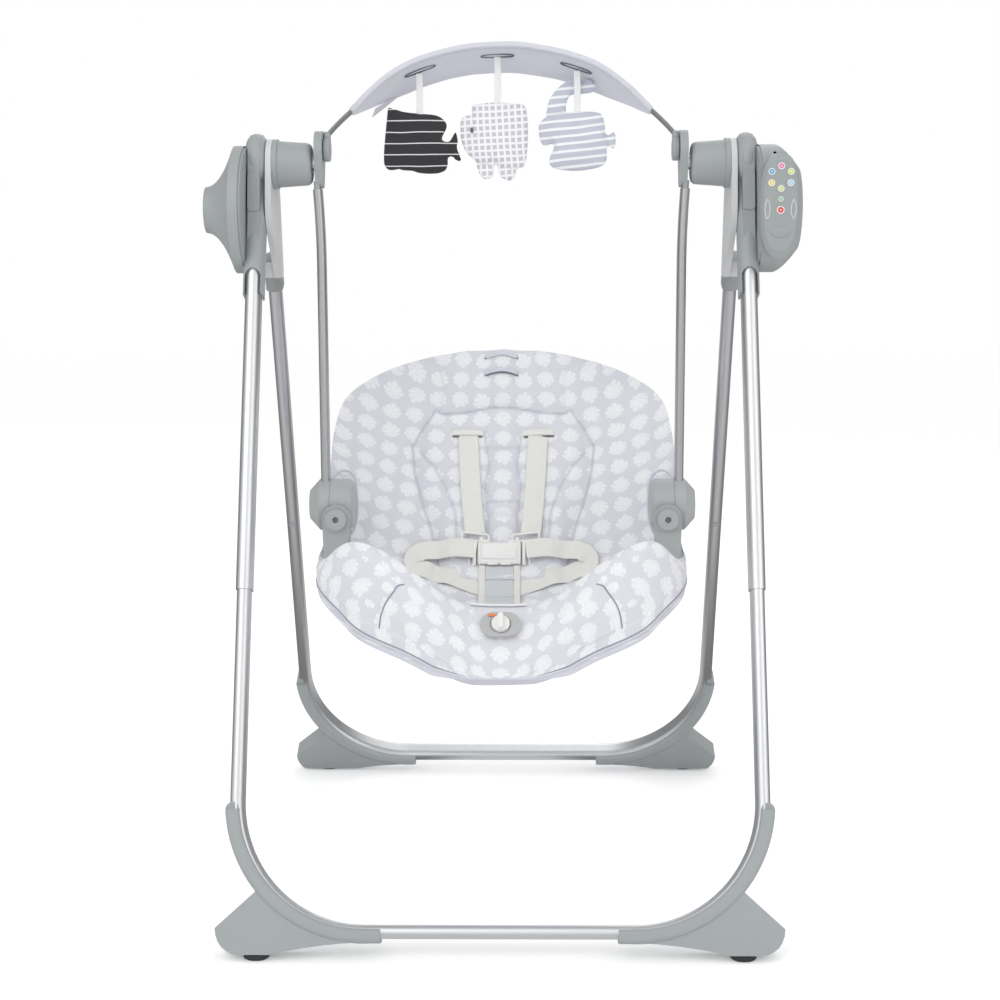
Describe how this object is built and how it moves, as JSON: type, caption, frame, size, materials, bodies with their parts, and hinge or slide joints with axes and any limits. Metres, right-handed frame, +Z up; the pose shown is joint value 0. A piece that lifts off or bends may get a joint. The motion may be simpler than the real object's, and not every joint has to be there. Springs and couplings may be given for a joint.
{
  "type": "baby swing",
  "caption": "Folding A-frame baby swing with a padded reclining bucket seat, round hub covers, an arched toy bar with hanging soft toys and a docked remote control.",
  "frame": {"origin": "on the floor, midway between the feet, below the swing axis", "axes": "+Z up, -Y towards the front that the seated child faces, +X to the right seen from the front"},
  "size_m": [0.7394, 0.7396, 1.0594],
  "materials": {
    "tube": "satin silver paint",
    "arm_tube": "satin anodised",
    "grey_plastic": "fine moulded texture",
    "joint_plastic": "fine moulded texture",
    "pad_rubber": "matt",
    "white_plastic": "smooth",
    "steel": "turned",
    "cell": "plain",
    "coil_wire": "enamelled wire",
    "shell_plastic": "plain",
    "seat_fabric": "lavender grey cotton with pale leaf print",
    "lining_fabric": "plain lavender grey cotton",
    "webbing": "woven webbing",
    "crotch_webbing": "woven webbing",
    "toy_dark": "dark cloth with pale pinstripes",
    "toy_pale": "pale grey check cloth",
    "toy_blue": "blue grey striped cloth",
    "remote_plastic": "fine moulded texture",
    "key_pink": "smooth",
    "key_lime": "smooth",
    "key_sky": "smooth",
    "key_leaf": "smooth",
    "key_yellow": "smooth",
    "key_blue": "smooth",
    "key_green": "smooth",
    "key_red": "smooth"
  },
  "bodies": {
    "stand_front": {"front_base_tube": "tube", "front_leg_left": "tube", "front_leg_right": "tube", "front_foot_left": "grey_plastic", "front_foot_right": "grey_plastic", "front_pads": "pad_rubber", "hub_left": "grey_plastic", "hub_right": "grey_plastic", "hub_cover_left": "grey_plastic", "hub_cover_right": "grey_plastic", "axle_housings": "grey_plastic", "axle_bushes": "white_plastic", "battery_cells": "cell", "drive_coil": "coil_wire"},
    "release_left": {"release_button_left": "grey_plastic"},
    "release_right": {"release_button_right": "grey_plastic"},
    "stand_rear": {"rear_base_tube": "tube", "rear_leg_left": "tube", "rear_leg_right": "tube", "rear_foot_left": "grey_plastic", "rear_foot_right": "grey_plastic", "rear_pads": "pad_rubber", "rear_bracket_left": "grey_plastic", "rear_bracket_right": "grey_plastic"},
    "snap_left": {"snap_button_left": "grey_plastic"},
    "snap_right": {"snap_button_right": "grey_plastic"},
    "swing": {"swing_axles": "steel", "arm_heads": "grey_plastic", "swing_arm_left": "arm_tube", "swing_arm_right": "arm_tube", "joint_outer_left": "joint_plastic", "joint_outer_right": "joint_plastic", "drive_lever": "white_plastic"},
    "seat": {"joint_inner_left": "joint_plastic", "joint_inner_right": "joint_plastic", "joint_pins": "joint_plastic", "seat_shell": "shell_plastic", "seat_pad": "seat_fabric", "seat_sling": "lining_fabric", "shoulder_straps": "webbing", "lap_straps": "webbing", "crotch_strap": "crotch_webbing", "buckle": "white_plastic", "knob_bezel": "grey_plastic"},
    "recline_knob": {"turn_knob": "white_plastic"},
    "toy_bar": {"toy_bar_ends": "grey_plastic", "toy_bar_rod": "grey_plastic", "toy_bar_cover": "seat_fabric"},
    "toy_left": {"toy_left": "toy_dark"},
    "toy_middle": {"toy_middle": "toy_pale"},
    "toy_right": {"toy_right": "toy_blue"},
    "remote": {"remote_body": "remote_plastic"},
    "key_1": {"key_1": "key_pink"},
    "key_2": {"key_2": "key_lime"},
    "key_3": {"key_3": "key_sky"},
    "key_4": {"key_4": "key_leaf"},
    "key_5": {"key_5": "key_yellow"},
    "key_6": {"key_6": "key_blue"},
    "key_light": {"key_light": "key_green"},
    "key_power": {"key_power": "key_red"}
  },
  "joints": [
    {"name": "release_left_press", "type": "slide", "parent": "stand_front", "child": "release_left", "axis": [0, 0.9304, -0.3665], "range_m": [0, 0.003], "stiffness_N_per_m": 600},
    {"name": "release_right_press", "type": "slide", "parent": "stand_front", "child": "release_right", "axis": [0, 0.9304, -0.3665], "range_m": [0, 0.003], "stiffness_N_per_m": 600},
    {"name": "rear_fold", "type": "hinge", "parent": "stand_front", "child": "stand_rear", "pos_m": [0, 0, 0.904], "axis": [1, 0, 0], "range_deg": [-20, 0]},
    {"name": "snap_left_press", "type": "slide", "parent": "stand_rear", "child": "snap_left", "axis": [0, 0.9304, 0.3665], "range_m": [0, 0.0025], "stiffness_N_per_m": 600},
    {"name": "snap_right_press", "type": "slide", "parent": "stand_rear", "child": "snap_right", "axis": [0, 0.9304, 0.3665], "range_m": [0, 0.0025], "stiffness_N_per_m": 600},
    {"name": "swing", "type": "hinge", "parent": "stand_front", "child": "swing", "pos_m": [0, 0, 0.904], "axis": [1, 0, 0], "range_deg": [-18, 18]},
    {"name": "recline", "type": "hinge", "parent": "swing", "child": "seat", "pos_m": [0, 0, 0.469], "axis": [1, 0, 0], "range_deg": [-25, 0]},
    {"name": "knob_turn", "type": "hinge", "parent": "seat", "child": "recline_knob", "pos_m": [0, -0.18409, 0.35152], "axis": [0, -0.7193, 0.6947], "range_deg": [0, 90]},
    {"name": "toy_bar_turn", "type": "hinge", "parent": "swing", "child": "toy_bar", "pos_m": [0, 0, 0.922], "axis": [1, 0, 0], "range_deg": [-30, 60]},
    {"name": "toy_left_swing", "type": "hinge", "parent": "toy_bar", "child": "toy_left", "pos_m": [-0.10405, 0.03795, 1.0115], "axis": [1, 0, 0], "range_deg": [-20, 20]},
    {"name": "toy_middle_swing", "type": "hinge", "parent": "toy_bar", "child": "toy_middle", "pos_m": [-0.00497, 0.04569, 1.03252], "axis": [1, 0, 0], "range_deg": [-20, 20]},
    {"name": "toy_right_swing", "type": "hinge", "parent": "toy_bar", "child": "toy_right", "pos_m": [0.09605, 0.03914, 1.01462], "axis": [1, 0, 0], "range_deg": [-20, 20]},
    {"name": "remote_pull", "type": "slide", "parent": "stand_front", "child": "remote", "axis": [0, -1, 0], "range_m": [0, 0.06]},
    {"name": "key_1_press", "type": "slide", "parent": "remote", "child": "key_1", "axis": [0, 1, 0], "range_m": [0, 0.001], "stiffness_N_per_m": 400},
    {"name": "key_2_press", "type": "slide", "parent": "remote", "child": "key_2", "axis": [0, 1, 0], "range_m": [0, 0.001], "stiffness_N_per_m": 400},
    {"name": "key_3_press", "type": "slide", "parent": "remote", "child": "key_3", "axis": [0, 1, 0], "range_m": [0, 0.001], "stiffness_N_per_m": 400},
    {"name": "key_4_press", "type": "slide", "parent": "remote", "child": "key_4", "axis": [0, 1, 0], "range_m": [0, 0.001], "stiffness_N_per_m": 400},
    {"name": "key_5_press", "type": "slide", "parent": "remote", "child": "key_5", "axis": [0, 1, 0], "range_m": [0, 0.001], "stiffness_N_per_m": 400},
    {"name": "key_6_press", "type": "slide", "parent": "remote", "child": "key_6", "axis": [0, 1, 0], "range_m": [0, 0.001], "stiffness_N_per_m": 400},
    {"name": "key_light_press", "type": "slide", "parent": "remote", "child": "key_light", "axis": [0, 1, 0], "range_m": [0, 0.001], "stiffness_N_per_m": 400},
    {"name": "key_power_press", "type": "slide", "parent": "remote", "child": "key_power", "axis": [0, 1, 0], "range_m": [0, 0.001], "stiffness_N_per_m": 400}
  ]
}
